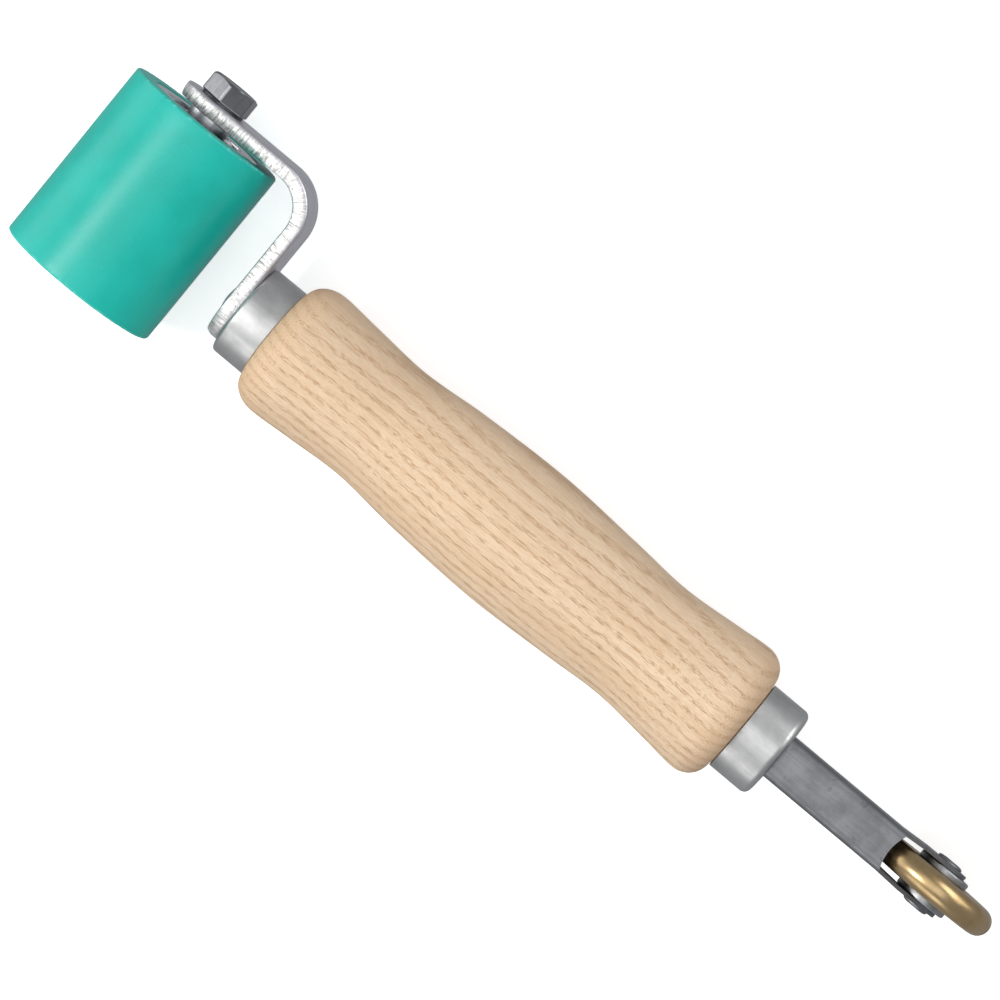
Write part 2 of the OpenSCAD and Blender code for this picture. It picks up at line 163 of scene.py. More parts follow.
# ---------------------------------------------------------------- material helpers
class Finish:
    """A node material with short ways to add the nodes that the finishes below use."""

    def __init__(self, name, **sockets):
        self.material = bpy.data.materials.new(name)
        self.material.use_nodes = True
        self.tree = self.material.node_tree
        self.shader = self.tree.nodes["Principled BSDF"]
        for key, value in sockets.items():
            socket = {"specular": "Specular IOR Level"}.get(key, key.replace("_", " ").title())
            self.shader.inputs[socket].default_value = value
        self.coords = self.add("ShaderNodeTexCoord").outputs["Object"]

    def add(self, kind, **settings):
        made = self.tree.nodes.new(kind)
        for key, value in settings.items():
            setattr(made, key, value)
        return made

    def link(self, source, socket):
        self.tree.links.new(source, socket)

    def feed(self, source, socket):
        self.link(source, self.shader.inputs[socket])

    def stretch(self, scale, source=None, shift=(0, 0, 0)):
        """Coordinates in cells: scale is cells per millimetre along X, Y and Z."""
        made = self.add("ShaderNodeMapping")
        made.inputs["Scale"].default_value = [s / MM for s in scale]
        made.inputs["Location"].default_value = shift
        self.link(source or self.coords, made.inputs["Vector"])
        return made.outputs["Vector"]

    def noise(self, vector, detail=3.0, roughness=0.55, distortion=0.0):
        made = self.add("ShaderNodeTexNoise")
        made.inputs["Scale"].default_value = 1.0
        made.inputs["Detail"].default_value = detail
        made.inputs["Roughness"].default_value = roughness
        made.inputs["Distortion"].default_value = distortion
        self.link(vector, made.inputs["Vector"])
        return made.outputs["Fac"]

    def cells(self, vector, feature="F1"):
        made = self.add("ShaderNodeTexVoronoi", feature=feature)
        made.inputs["Scale"].default_value = 1.0
        self.link(vector, made.inputs["Vector"])
        return made.outputs["Distance"]

    def ranged(self, source, lo, hi, to_lo=0.0, to_hi=1.0, smooth=True):
        made = self.add("ShaderNodeMapRange")
        made.interpolation_type = "SMOOTHSTEP" if smooth else "LINEAR"
        made.inputs["From Min"].default_value = lo
        made.inputs["From Max"].default_value = hi
        made.inputs["To Min"].default_value = to_lo
        made.inputs["To Max"].default_value = to_hi
        self.link(source, made.inputs["Value"])
        return made.outputs["Result"]

    def maths(self, operation, a, b=None):
        made = self.add("ShaderNodeMath", operation=operation)
        for value, socket in ((a, made.inputs[0]), (b, made.inputs[1])):
            if isinstance(value, (int, float)):
                socket.default_value = value
            elif value is not None:
                self.link(value, socket)
        return made.outputs["Value"]

    def mixed(self, share, a, b, blend="MIX"):
        made = self.add("ShaderNodeMix", data_type="RGBA", blend_type=blend)
        self.link(share, made.inputs["Factor"])
        for value, socket in ((a, made.inputs[6]), (b, made.inputs[7])):
            if isinstance(value, tuple):
                socket.default_value = (*value, 1.0)
            else:
                self.link(value, socket)
        return made.outputs[2]

    def axis(self, name, vector=None):
        made = self.add("ShaderNodeSeparateXYZ")
        self.link(vector or self.coords, made.inputs["Vector"])
        return made.outputs[name]

    def attribute(self, name):
        made = self.add("ShaderNodeAttribute", attribute_name=name)
        return made.outputs["Fac"]

    def uv(self):
        return self.add("ShaderNodeUVMap").outputs["UV"]

    def bump(self, height, depth, strength=1.0):
        """Bump whose full height is depth millimetres."""
        made = self.add("ShaderNodeBump")
        made.inputs["Distance"].default_value = depth * MM
        made.inputs["Strength"].default_value = strength
        self.link(height, made.inputs["Height"])
        self.feed(made.outputs["Normal"], "Normal")


# ---------------------------------------------------------------- materials
def wood_finish():
    """Pale turned ash: fine grain along X, short open pores, warmer at the two shoulders."""
    f = Finish("turned_wood", specular=0.35)
    sway = f.noise(f.stretch((0.02, 0.12, 0.12)), 2.0)
    swayed = f.add("ShaderNodeVectorMath", operation="ADD")
    offset = f.add("ShaderNodeCombineXYZ")
    f.link(f.maths("MULTIPLY", sway, 0.0010), offset.inputs["Y"])
    f.link(f.maths("MULTIPLY", sway, 0.0013), offset.inputs["Z"])
    f.link(f.coords, swayed.inputs[0])
    f.link(offset.outputs["Vector"], swayed.inputs[1])
    grain = swayed.outputs["Vector"]

    rings = f.add("ShaderNodeTexWave", wave_type="RINGS", rings_direction="X")
    rings.inputs["Scale"].default_value = 0.15
    rings.inputs["Distortion"].default_value = 0.7
    rings.inputs["Detail"].default_value = 2.0
    rings.inputs["Detail Scale"].default_value = 0.9
    f.link(f.stretch((0.022, 1, 1), grain, (0, 74.0, 9.0)), rings.inputs["Vector"])
    early = f.ranged(rings.outputs["Fac"], 0.25, 0.95)

    streaks = f.noise(f.stretch((0.10, 4.6, 4.6), grain), 3.0, 0.62)
    broad = f.noise(f.stretch((0.012, 0.2, 0.2), grain), 2.0)
    pore_noise = f.noise(f.stretch((0.34, 7.0, 7.0), grain), 2.0, 0.5)
    pores = f.ranged(pore_noise, 0.54, 0.64)
    pores = f.maths("MULTIPLY", pores, f.ranged(early, 0.15, 0.9, 0.32, 1.0))

    base = f.mixed(f.ranged(broad, 0.3, 0.7), (0.80, 0.61, 0.425), (0.72, 0.525, 0.345))
    base = f.mixed(f.ranged(streaks, 0.35, 0.75, 0.0, 0.75), base, (0.66, 0.455, 0.28))
    lines = f.maths("MULTIPLY", f.ranged(early, 0.55, 1.0), f.ranged(streaks, 0.42, 0.60, 0.06, 0.62))
    base = f.mixed(lines, base, (0.60, 0.375, 0.205))
    base = f.mixed(f.maths("MULTIPLY", pores, 0.70), base, (0.47, 0.265, 0.125))
    along = f.axis("X")
    front = f.ranged(along, 0.0365, 0.0445, 1.0, 0.0)
    rear = f.ranged(along, 0.1455, 0.1525)
    ends = f.maths("MULTIPLY", f.maths("ADD", front, rear), f.ranged(streaks, 0.2, 0.8, 0.15, 0.75))
    base = f.mixed(ends, base, (0.64, 0.41, 0.235))
    f.feed(base, "Base Color")
    f.feed(f.ranged(streaks, 0.2, 0.8, 0.52, 0.68), "Roughness")
    fibre = f.noise(f.stretch((0.4, 9, 9), grain), 2.0)
    height = f.maths("SUBTRACT", f.maths("MULTIPLY", fibre, 0.35), f.maths("MULTIPLY", pores, 0.9))
    f.bump(height, 0.05)
    return f.material


def silicone_finish():
    """Smooth teal silicone rubber with a satin skin, faintly mottled, with painted light on the end faces and a
    patchy painted highlight along their outer edges.
    """
    f = Finish("teal_silicone", specular=0.42)
    cloud = f.noise(f.stretch((0.08, 0.08, 0.08)), 3.0)
    speck = f.noise(f.stretch((1.6, 1.6, 1.6)), 3.0, 0.7)
    base = f.mixed(f.ranged(cloud, 0.3, 0.7), (0.004, 0.40, 0.325), (0.006, 0.45, 0.37))
    base = f.mixed(f.ranged(speck, 0.45, 0.75, 0.0, 0.25), base, (0.015, 0.50, 0.42))
    # painted light: both end faces are mixed a quarter of the way towards a paler teal
    end = f.ranged(f.maths("ABSOLUTE", f.axis("Y")), 0.0193, 0.0200)
    base = f.mixed(f.maths("MULTIPLY", end, 0.25), base, (0.03, 0.56, 0.47))
    # painted highlight: a pale, patchy ring on the rounded outer edge of each end face
    reach = f.add("ShaderNodeVectorMath", operation="LENGTH")
    f.link(f.stretch((MM, 0, MM)), reach.inputs[0])
    rim = f.maths("MULTIPLY", end, f.ranged(reach.outputs["Value"], 0.0163, 0.0168))
    patchy_painted_highlight = f.ranged(f.noise(f.stretch((0.9, 0.6, 0.9)), 3.0, 0.6), 0.50, 0.66, 0.1, 0.75)
    base = f.mixed(f.maths("MULTIPLY", rim, patchy_painted_highlight), base, (0.20, 0.70, 0.62))
    specks = f.ranged(f.cells(f.stretch((0.16, 0.16, 0.16))), 0.03, 0.07, 0.5, 0.0)
    base = f.mixed(specks, base, (0.02, 0.36, 0.31))
    f.feed(base, "Base Color")
    f.feed(f.ranged(cloud, 0.25, 0.75, 0.33, 0.42), "Roughness")
    f.bump(speck, 0.012)
    return f.material


def steel_finish(name, light, dark, rough, brush=(0.06, 3.0, 3.0), depth=0.004, stain=None):
    """Bare or plated steel: brushed streaks, cloudy tone and fine scratches."""
    f = Finish(name, metallic=1.0)
    streak = f.noise(f.stretch(brush), 3.0, 0.65)
    cloud = f.noise(f.stretch((0.22, 0.22, 0.22)), 4.0, 0.6)
    base = f.mixed(f.ranged(cloud, 0.3, 0.7), light, dark)
    base = f.mixed(f.ranged(streak, 0.35, 0.7, 0.0, 0.35), base, dark)
    if stain:
        spots = f.ranged(f.noise(f.stretch((0.5, 0.5, 0.5)), 5.0, 0.7), 0.58, 0.72, 0.0, 0.6)
        base = f.mixed(spots, base, stain)
    f.feed(base, "Base Color")
    mixed = f.maths("ADD", f.maths("MULTIPLY", streak, 0.6), f.maths("MULTIPLY", cloud, 0.4))
    f.feed(f.ranged(mixed, 0.3, 0.7, rough - 0.07, rough + 0.09), "Roughness")
    f.bump(streak, depth)
    return f.material


def turned_finish(name, light, dark, rough, centre, axis=(0, 1, 0), pitch=4.5, depth=0.004):
    """Turned metal: fine rings about an axis."""
    f = Finish(name, metallic=1.0)
    away = f.add("ShaderNodeVectorMath", operation="SUBTRACT")
    f.link(f.coords, away.inputs[0])
    away.inputs[1].default_value = [c * MM for c in centre]
    crossed = f.add("ShaderNodeVectorMath", operation="CROSS_PRODUCT")
    f.link(away.outputs["Vector"], crossed.inputs[0])
    crossed.inputs[1].default_value = axis
    reach = f.add("ShaderNodeVectorMath", operation="LENGTH")
    f.link(crossed.outputs["Vector"], reach.inputs[0])
    spread = f.add("ShaderNodeVectorMath", operation="DOT_PRODUCT")
    f.link(away.outputs["Vector"], spread.inputs[0])
    spread.inputs[1].default_value = axis
    point = f.add("ShaderNodeCombineXYZ")
    f.link(reach.outputs["Value"], point.inputs["X"])
    f.link(spread.outputs["Value"], point.inputs["Y"])
    lines = f.noise(f.stretch((pitch, pitch, 1), point.outputs["Vector"]), 3.0, 0.7)
    cloud = f.noise(f.stretch((0.18, 0.18, 0.18)), 4.0, 0.6)
    base = f.mixed(f.ranged(cloud, 0.3, 0.7), light, dark)
    base = f.mixed(f.ranged(lines, 0.4, 0.75, 0.0, 0.3), base, dark)
    f.feed(base, "Base Color")
    mixed = f.maths("ADD", f.maths("MULTIPLY", lines, 0.5), f.maths("MULTIPLY", cloud, 0.5))
    f.feed(f.ranged(mixed, 0.3, 0.7, rough - 0.07, rough + 0.1), "Roughness")
    f.bump(lines, depth)
    return f.material


def arm_finish():
    """Bright zinc on flat bar: satin faces, and sheared edges with torn marks across the thickness."""
    f = Finish("sheared_bar", metallic=1.0)
    uv = f.uv()
    edge = f.attribute("shear")
    torn = f.noise(f.stretch((0.0028, 0.0004, 1), uv), 4.0, 0.7, 0.6)
    coarse = f.noise(f.stretch((0.0011, 0.0009, 1), uv), 4.0, 0.65)
    cloud = f.noise(f.stretch((0.25, 0.25, 0.25)), 4.0, 0.6)
    face = f.mixed(f.ranged(cloud, 0.3, 0.7), (0.74, 0.725, 0.765), (0.63, 0.615, 0.655))
    marks = f.mixed(f.ranged(torn, 0.40, 0.66), (0.93, 0.915, 0.895), (0.34, 0.32, 0.305))
    marks = f.mixed(f.ranged(coarse, 0.5, 0.75, 0.0, 0.6), marks, (0.50, 0.49, 0.47))
    f.feed(f.mixed(edge, face, marks), "Base Color")
    rough = f.ranged(edge, 0.0, 1.0, 0.34, 0.46, smooth=False)
    f.feed(f.maths("ADD", rough, f.ranged(torn, 0.3, 0.7, -0.05, 0.08)), "Roughness")
    height = f.maths("MULTIPLY", f.maths("ADD", torn, coarse), f.ranged(edge, 0.0, 1.0, 0.04, 1.0))
    f.bump(height, 0.10)
    return f.material


def plastic_finish(name, light, dark):
    f = Finish(name)
    cloud = f.noise(f.stretch((0.5, 0.5, 0.5)), 4.0)
    f.feed(f.mixed(f.ranged(cloud, 0.3, 0.7), light, dark), "Base Color")
    f.feed(f.ranged(cloud, 0.3, 0.7, 0.38, 0.52), "Roughness")
    f.bump(f.noise(f.stretch((4, 4, 4)), 2.0), 0.01)
    return f.material


wheel_axis = tuple((TURNED_FORK.to_3x3() @ Vector((0, 1, 0))))
wheel_centre = tuple(TURNED_FORK @ Vector((AXLE_X, HANDLE_Y, AXLE_Z)))
FINISHES = {
    "wood": wood_finish(),
    "sleeve_rubber": silicone_finish(),
    "arm_steel": arm_finish(),
    "ferrule_steel": steel_finish(
        "satin_ferrule", (0.60, 0.60, 0.59), (0.47, 0.47, 0.46), 0.42, (0.10, 1.6, 1.6), 0.006
    ),
    "fork_steel": steel_finish(
        "dull_sheet", (0.26, 0.263, 0.272), (0.19, 0.193, 0.20), 0.48, (0.08, 2.4, 2.4), 0.010,
        (0.12, 0.12, 0.125)
    ),
    "screw_steel": steel_finish("zinc_screw", (0.62, 0.62, 0.64), (0.45, 0.45, 0.47), 0.32),
    "bolt_steel": steel_finish(
        "bolt_satin", (0.28, 0.285, 0.295), (0.20, 0.205, 0.215), 0.30, (2.6, 0.15, 2.6), 0.006
    ),
    # the washer's near-black tone is partly its dark steel and partly painted shade under the bolt head
    "washer_steel": steel_finish("spring_dark_with_painted_shade", (0.16, 0.16, 0.17), (0.07, 0.07, 0.08), 0.42),
    "turned_steel": turned_finish(
        "turned_zinc", (0.70, 0.70, 0.72), (0.50, 0.50, 0.52), 0.26, (0, 0, 0)
    ),
    "bearing_steel": turned_finish(
        "ground_steel", (0.74, 0.74, 0.76), (0.58, 0.58, 0.61), 0.14, (0, 0, 0), depth=0.001
    ),
    "shield_steel": turned_finish(
        "pressed_shield", (0.36, 0.36, 0.38), (0.22, 0.22, 0.24), 0.30, (0, 0, 0), pitch=2.5
    ),
    "core_metal": turned_finish(
        "polished_core", (0.80, 0.80, 0.82), (0.64, 0.64, 0.67), 0.18, (0, 0, 0), pitch=5.0
    ),
    "cage_plastic": plastic_finish("cage_moulding", (0.74, 0.69, 0.56), (0.66, 0.60, 0.47)),
    "wheel_brass": turned_finish(
        "satin_brass", (0.56, 0.405, 0.215), (0.40, 0.275, 0.13), 0.32, wheel_centre, wheel_axis,
        3.5, 0.006
    ),
    "rivet_steel": steel_finish(
        "dull_rivet", (0.30, 0.30, 0.31), (0.18, 0.18, 0.19), 0.45, (1.5, 1.5, 1.5), 0.02
    ),
    "wheel_washer_steel": steel_finish(
        "stamped_washer", (0.50, 0.51, 0.52), (0.30, 0.31, 0.32), 0.42, (1.8, 0.8, 1.8), 0.02
    ),
}


def turned(name, rings, place, body, slot, nodes, segments=128, closed=True, shift=None, sharp=32):
    bm = bmesh.new()
    spun(bm, rings, place, segments, closed, shift)
    return piece(name, bm, body, FINISHES[slot], nodes, sharp)


# ---------------------------------------------------------------- wooden grip
def grip_outline():
    """The grip's outline as (x, radius), on a smooth cubic through its swells and waists."""
    front, waist, belly, rear_waist, rear = 14.25, 12.95, 14.8, 13.2, 14.8
    stations = [
        (0.05, front), (0.12, front * 0.58 + waist * 0.42), (0.23, waist),
        (0.35, waist * 0.4 + belly * 0.6), (0.52, belly),
        (0.68, belly * 0.45 + rear_waist * 0.55), (0.79, rear_waist),
        (0.9, rear_waist * 0.36 + rear * 0.64), (0.957, rear),
    ]
    last = len(stations) - 1

    def slope(i):
        if i in (0, last):
            return 0.0
        (a, low), (b, high) = stations[i - 1], stations[i + 1]
        return (high - low) / (b - a)

    shoulder = FERRULE_R + 0.1
    out = []
    for k in range(13):
        turn = math.pi / 2 * k / 12
        x = stations[0][0] * GRIP_LEN * (1 - math.cos(turn))
        out.append((x, shoulder + (front - shoulder) * math.sin(turn)))
    for i in range(last):
        (a, low), (b, high) = stations[i], stations[i + 1]
        for k in range(1, 9):
            t = k / 8
            radius = (
                (2 * t ** 3 - 3 * t ** 2 + 1) * low
                + (t ** 3 - 2 * t ** 2 + t) * (b - a) * slope(i)
                + (3 * t ** 2 - 2 * t ** 3) * high
                + (t ** 3 - t ** 2) * (b - a) * slope(i + 1)
            )
            out.append(((a + (b - a) * t) * GRIP_LEN, radius))
    for k in range(1, 13):
        turn = math.pi / 2 * (1 - k / 12)
        x = GRIP_LEN - (1 - stations[last][0]) * GRIP_LEN * (1 - math.cos(turn))
        out.append((x, shoulder + (rear - shoulder) * math.sin(turn)))
    return out


def hand_turned(along, radius, turn, ring):
    """Slight unevenness left by sanding."""
    if radius < 9.2:
        return along, radius
    uneven = 0.035 * wobble(along * 0.05, math.cos(turn) * 1.3, math.sin(turn) * 1.3)
    return along, radius + uneven - 0.02


outline = [(GRIP_X0 + x, r) for x, r in grip_outline()]
grip_rings = (
    [(29.05, 0.0), (29.05, 8.7), (29.4, TENON_R - 0.02), (GRIP_X0, TENON_R - 0.02)]
    + outline
    + [(GRIP_X0 + GRIP_LEN, TENON_R - 0.02), (161.0, TENON_R - 0.02), (161.25, 8.7), (161.25, 0.0)]
)
turned("turned_grip", grip_rings, ABOUT_HANDLE, "handle", "wood", ["wood_handle"], 160, False,
       hand_turned, 50)

# ---------------------------------------------------------------- front ferrule
turned(
    "drawn_front_ferrule",
    rounded([
        (28.2, 2.55, 0.1), (28.2, FERRULE_R, 0.8), (35.98, FERRULE_R, 0.22),
        (35.98, 9.1, 0.12), (29.0, 9.1, 0.4), (29.0, 2.55, 0.1),
    ], steps=6),
    ABOUT_HANDLE, "handle", "ferrule_steel", ["front_ferrule"], 160, sharp=50,
)


# ---------------------------------------------------------------- rubber sleeve and its core
def nicked(along, radius, turn, ring):
    """Small nicks along the two outer edges, and the faint waviness of moulded rubber."""
    if radius < 16.4:
        return along, radius
    x, z = math.cos(turn) * 17, math.sin(turn) * 17
    near_edge = max(0.0, (abs(along) - 19.2) / 0.8)
    bite = max(0.0, wobble(x * 0.8, along * 0.2, z * 0.8) - 0.22)
    skin = 0.015 * wobble(x * 0.15, along * 0.12, z * 0.15)
    return along - math.copysign(bite * near_edge * 0.12, along), radius - 0.01 + skin - bite * near_edge * 0.35


sleeve_side = [(y, 17.1) for y in (-18, -14, -10, -6, -2, 2, 6, 10, 14, 18)]
turned(
    "moulded_sleeve",
    rounded([(-20.0, 12.53, 0.2), (-20.0, 17.1, 0.5)] + [(y, r, 0) for y, r in sleeve_side]
            + [(20.0, 17.1, 0.5), (20.0, 12.53, 0.2)], steps=6),
    ABOUT_Y, "roller", "sleeve_rubber", ["roller_sleeve"], 288, shift=nicked, sharp=50,
)
turned(
    "turned_core",
    rounded([
        (-19.8, 12.49, 0.3), (19.8, 12.49, 0.3), (19.8, 11.3, 0), (19.72, 11.2, 0), (19.72, 11.0, 0),
        (19.8, 10.9, 0), (19.8, 9.5, 0.35), (13.4, 9.5, 0),
        (13.4, 7.6, 0.3), (-9.2, 7.6, 0.3), (-9.2, 9.5, 0), (-19.8, 9.5, 0.35),
        (-19.8, 10.9, 0), (-19.72, 11.0, 0), (-19.72, 11.2, 0), (-19.8, 11.3, 0),
    ], steps=5),
    ABOUT_Y, "roller", "core_metal", ["roller_core"], 192,
)


def plain_ring(name, inner, outer, y0, y1, edge, body, slot, node, place=ABOUT_Y):
    turned(name, rounded([(y0, inner), (y0, outer), (y1, outer), (y1, inner)], edge), place,
           body, slot, [node], 96)


plain_ring("turned_thrust_ring", 3.02, 4.6, 19.4, 21.4, 0.2, "handle", "turned_steel",
           "thrust_spacer")
plain_ring("stamped_end_washer", 3.02, 5.0, -16.0, -15.2, 0.12, "handle", "turned_steel",
           "end_washer")
plain_ring("spacer_tube", 3.02, 4.5, -9.2, 13.4, 0.15, "handle", "turned_steel", "bearing_spacer")


# ---------------------------------------------------------------- hexagons
def hexagon_radius(turn, flats_turn=HEX_TURN, across=9.7, corner=5.45):
    """Radius of a hexagon with softened corners, its first flat facing the given angle."""
    # the angle is taken from +Z towards +X, because ABOUT_Y puts cos on Z and sin on X
    off = (math.degrees(turn) - flats_turn + 30) % 60 - 30
    return min(across / 2 / math.cos(math.radians(off)), corner)


def hexagon_rings(y0, y1, chamfer_low, chamfer_high, flat_r=4.65):
    """Rings of a hexagon prism whose corners are turned off at 30 degrees at each end."""
    def at(y, sign, pull):
        def ring(turn):
            radius = hexagon_radius(turn) - pull
            drop = max(0.0, radius - flat_r) * math.tan(math.radians(30))
            return y + sign * (drop + pull * 0.6), radius
        return ring
    low = [(y0, flat_r), at(y0, 1, 0.12), at(y0, 1, 0.0)] if chamfer_low else [
        (y0, 4.5), lambda turn: (y0, hexagon_radius(turn) - 0.25),
        lambda turn: (y0 + 0.12, hexagon_radius(turn) - 0.08),
        lambda turn: (y0 + 0.3, hexagon_radius(turn))]
    high = [at(y1, -1, 0.0), at(y1, -1, 0.12), (y1, flat_r)] if chamfer_high else []
    return low + high


bolt_rings = (
    [(BOLT_END_Y, 0.0), (BOLT_END_Y, 2.2), (BOLT_END_Y + 0.15, 2.5), (BOLT_END_Y + 0.6, 2.98)]
    + [(HEAD_Y - 0.25, 2.98), (HEAD_Y, 3.2)]
    + hexagon_rings(HEAD_Y, HEAD_Y + HEAD_H, False, True)
    + [(HEAD_Y + HEAD_H, 3.9), (HEAD_Y + HEAD_H - 0.1, 3.6), (HEAD_Y + HEAD_H - 0.12, 2.0),
       (HEAD_Y + HEAD_H - 0.12, 0.0)]
)
turned("hex_bolt", bolt_rings, ABOUT_Y, "handle", "bolt_steel", ["axle_bolt"], 240, False, sharp=20)
nut_rings = (
    [(-19.1, 3.02), (-19.2, 3.3)]
    + hexagon_rings(-19.2, -16.0, True, True)
    + [(-16.0, 3.3), (-16.1, 3.02)]
)
turned("hex_nut", nut_rings, ABOUT_Y, "handle", "turned_steel", ["end_nut"], 240, sharp=20)


# ---------------------------------------------------------------- split spring washer
def build_spring_washer():
    section = rounded([(24.41, 3.22), (24.41, 4.78), (24.89, 4.78), (24.89, 3.22)], 0.1)
    gap = math.radians(4.6)
    middle = math.radians(270 + 20)  # towards -X and a little up
    steps = 120
    bm = bmesh.new()
    rows = []
    for i in range(steps + 1):
        turn = middle + gap + (2 * math.pi - 2 * gap) * i / steps
        rows.append([
            bm.verts.new(ABOUT_Y @ Vector((y, r * math.cos(turn), r * math.sin(turn))) * MM)
            for y, r in section
        ])
    for low, high in zip(rows, rows[1:]):
        for j in range(len(section)):
            k = (j + 1) % len(section)
            bm.faces.new((low[j], low[k], high[k], high[j]))
    bm.faces.new(rows[0])
    bm.faces.new(rows[-1])
    piece("split_spring_washer", bm, "handle", FINISHES["washer_steel"],
          ["spring_washer"])


build_spring_washer()


# ---------------------------------------------------------------- bent flat bar
def build_arm():
    straight = ARM_IN_X - BEND_R + ARM_HALF
    bend = math.pi / 2 * (BEND_R + ARM_T / 2)
    back = (ARM_IN_Y - BEND_R) - (HANDLE_Y - ARM_HALF)
    length = straight + bend + back
    centre = Vector((ARM_IN_X - BEND_R, ARM_IN_Y - BEND_R))

    def on_bar(s, t, w):
        """Point at length s along the bar, t through its thickness and w across its width."""
        if s < straight:
            return Vector((s - ARM_HALF, ARM_IN_Y + t, w)) * MM
        if s < straight + bend:
            a = (s - straight) / (BEND_R + ARM_T / 2)
            reach = BEND_R + t
            return Vector((centre.x + reach * math.sin(a), centre.y + reach * math.cos(a), w)) * MM
        return Vector((ARM_IN_X + t, centre.y - (s - straight - bend), w)) * MM

    def half_outline(inset):
        """(s, w) of the upper half of the outline, from the first tip to the last."""
        reach = ARM_HALF - inset
        out = []
        for k in range(41):
            a = math.pi / 2 * k / 40
            out.append((ARM_HALF - reach * math.cos(a), reach * math.sin(a)))
        steps = 200
        for k in range(1, steps):
            out.append((ARM_HALF + (length - 2 * ARM_HALF) * k / steps, reach))
        for k in range(41):
            a = math.pi / 2 * k / 40
            out.append((length - ARM_HALF + reach * math.sin(a), reach * math.cos(a)))
        return out

    # (thickness, inset, share of torn surface): a rounded roll-over at the outside, a burr inside
    layers = [
        (0.0, 0.62, 0.0), (0.0, 0.50, 0.2), (0.08, 0.44, 0.6), (0.3, 0.34, 1.0),
        (0.6, 0.22, 1.0), (0.9, 0.12, 1.0), (1.2, 0.05, 1.0), (1.5, 0.0, 1.0), (1.8, 0.0, 1.0),
        (2.1, 0.0, 0.9), (2.35, 0.01, 0.6), (2.6, 0.04, 0.35), (2.8, 0.12, 0.2),
        (2.93, 0.26, 0.1), (3.0, 0.5, 0.0),
    ]
    bm = bmesh.new()
    uv_layer = bm.loops.layers.uv.new("UVMap")
    shear = bm.verts.layers.float.new("shear")
    flat = {}

    def vertex(s, t, w, torn, across):
        v = bm.verts.new(on_bar(s, t, w))
        v[shear] = torn
        flat[v] = (s, across)
        return v

    loops = []
    for t, inset, torn in layers:
        upper = half_outline(inset)
        count = len(upper)
        loop = []
        for side in (1, -1):
            order = range(count) if side == 1 else range(count - 2, 0, -1)
            for i in order:
                s, w = upper[i]
                rough = 0.05 * torn * wobble(s * 2.6, t * 0.55, side * 9.0)
                rough += 0.025 * torn * wobble(s * 0.9, t * 1.4, side * 5.0 + 3)
                pull = (rough - 0.05 * torn) / ARM_HALF
                s2 = s
                if s < ARM_HALF:
                    s2 = ARM_HALF + (s - ARM_HALF) * (1 + pull)
                elif s > length - ARM_HALF:
                    s2 = length - ARM_HALF + (s - length + ARM_HALF) * (1 + pull)
                loop.append(vertex(s2, t, side * w * (1 + pull), torn, t))
        loops.append(loop)
    around = len(loops[0])
    for low, high in zip(loops, loops[1:]):
        for i in range(around):
            k = (i + 1) % around
            bm.faces.new((low[i], low[k], high[k], high[i]))

    def cap(loop, t):
        """Fills a face with strips across the bar, so that it follows the bend."""
        count = around // 2 + 1
        columns = 6
        rows = []
        for i in range(count):
            top = loop[i]
            low = loop[-i % around]
            if i in (0, count - 1):
                rows.append([top] * (columns + 1))
                continue
            s = flat[top][0]
            row = [top]
            a = top.co.z / MM
            b = low.co.z / MM
            for j in range(1, columns):
                row.append(vertex(s, t, a + (b - a) * j / columns, 0.0, a + (b - a) * j / columns))
            row.append(low)
            rows.append(row)
        for left, right in zip(rows, rows[1:]):
            for j in range(columns):
                corners = []
                for v in (left[j], left[j + 1], right[j + 1], right[j]):
                    if v not in corners:
                        corners.append(v)
                if len(corners) > 2:
                    bm.faces.new(corners)

    cap(loops[0], 0.0)
    cap(loops[-1], ARM_T)
    for face in bm.faces:
        for corner in face.loops:
            s, across = flat[corner.vert]
            corner[uv_layer].uv = (s, across)
    piece("bent_arm", bm, "handle", FINISHES["arm_steel"], ["arm"], 60)


build_arm()


# ---------------------------------------------------------------- fork
def build_fork():
    """The CAD fork's surfaces with their sheet edges broken."""
    bm = bmesh.new()
    bm.from_mesh(frame["nodes"]["fork"].data)
    bmesh.ops.remove_doubles(bm, verts=bm.verts, dist=0.002 * MM)
    bmesh.ops.dissolve_limit(bm, angle_limit=math.radians(0.3), verts=bm.verts, edges=bm.edges)
    edges = [
        e for e in bm.edges
        if len(e.link_faces) == 2 and e.calc_face_angle(0.0) > math.radians(35)
    ]
    bmesh.ops.bevel(bm, geom=edges, offset=0.14 * MM, segments=2, profile=0.6,
                    affect="EDGES", clamp_overlap=True)
    bmesh.ops.triangulate(bm, faces=[f for f in bm.faces if len(f.verts) > 4])
    made = piece("sheet_fork", bm, "handle", FINISHES["fork_steel"], ["fork"], 40)
    weights = made.modifiers.new("flat_faces", "WEIGHTED_NORMAL")
    weights.keep_sharp = True


build_fork()

# ---------------------------------------------------------------- brass wheel, rivet and washers
rim = []
for k in range(33):
    a = math.pi * k / 32
    rim.append((-WHEEL_HALF * math.cos(a), WHEEL_R - WHEEL_HALF + WHEEL_HALF * math.sin(a), 0))
turned(
    "brass_detail_wheel",
    rounded([(-WHEEL_HALF, 2.06, 0.2), (-WHEEL_HALF, 6.2, 0), (-WHEEL_HALF + 0.12, 6.5, 0),
             (-WHEEL_HALF + 0.12, 9.6, 0), (-WHEEL_HALF, 9.9, 0)]
            + rim
            + [(WHEEL_HALF, 9.9, 0), (WHEEL_HALF - 0.12, 9.6, 0), (WHEEL_HALF - 0.12, 6.5, 0),
               (WHEEL_HALF, 6.2, 0), (WHEEL_HALF, 2.06, 0.2)]),
    ABOUT_WHEEL, "brass_wheel", "wheel_brass", ["detail_wheel"], 192, sharp=40,
)


